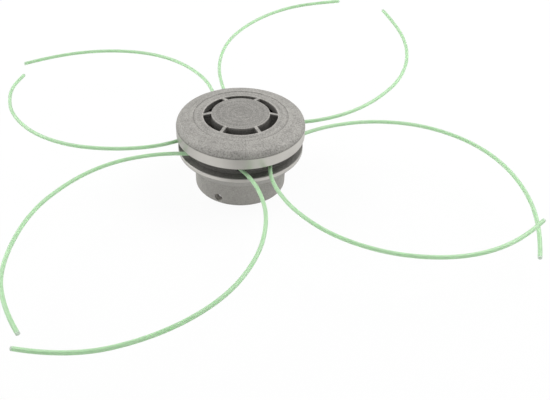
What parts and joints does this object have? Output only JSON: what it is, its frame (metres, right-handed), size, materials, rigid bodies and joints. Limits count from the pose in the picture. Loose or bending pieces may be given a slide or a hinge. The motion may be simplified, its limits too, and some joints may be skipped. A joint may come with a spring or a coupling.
{
  "type": "trimmer head",
  "caption": "Round cast-aluminium trimmer head with a hollow drive boss, a vented domed cover and an open groove from which curved nylon cutting lines stand out.",
  "frame": {"origin": "middle of the boss's foot, on the spin axis", "axes": "+Z along the spin axis from the boss to the domed cover, +X to the right in the picture, +Y away from the camera"},
  "size_m": [0.4648, 0.4972, 0.0692],
  "materials": {
    "cast_lower": "as cast, with a turned flange edge",
    "cast_cover": "as cast, with a turned rim",
    "nut_steel": "zinc plated",
    "plate_steel": "plain",
    "screw_steel": "zinc plated",
    "nylon_line": "extruded, slightly translucent"
  },
  "bodies": {
    "root": {"lower_body": "cast_lower", "top_cover": "cast_cover", "drive_nut": "nut_steel", "nut_plate": "plate_steel", "cover_screws": "screw_steel", "screw_washers": "screw_steel", "locating_pins": "plate_steel", "line_front_left": "nylon_line", "line_front_right": "nylon_line", "line_back_right": "nylon_line", "line_back_left": "nylon_line"}
  },
  "joints": []
}
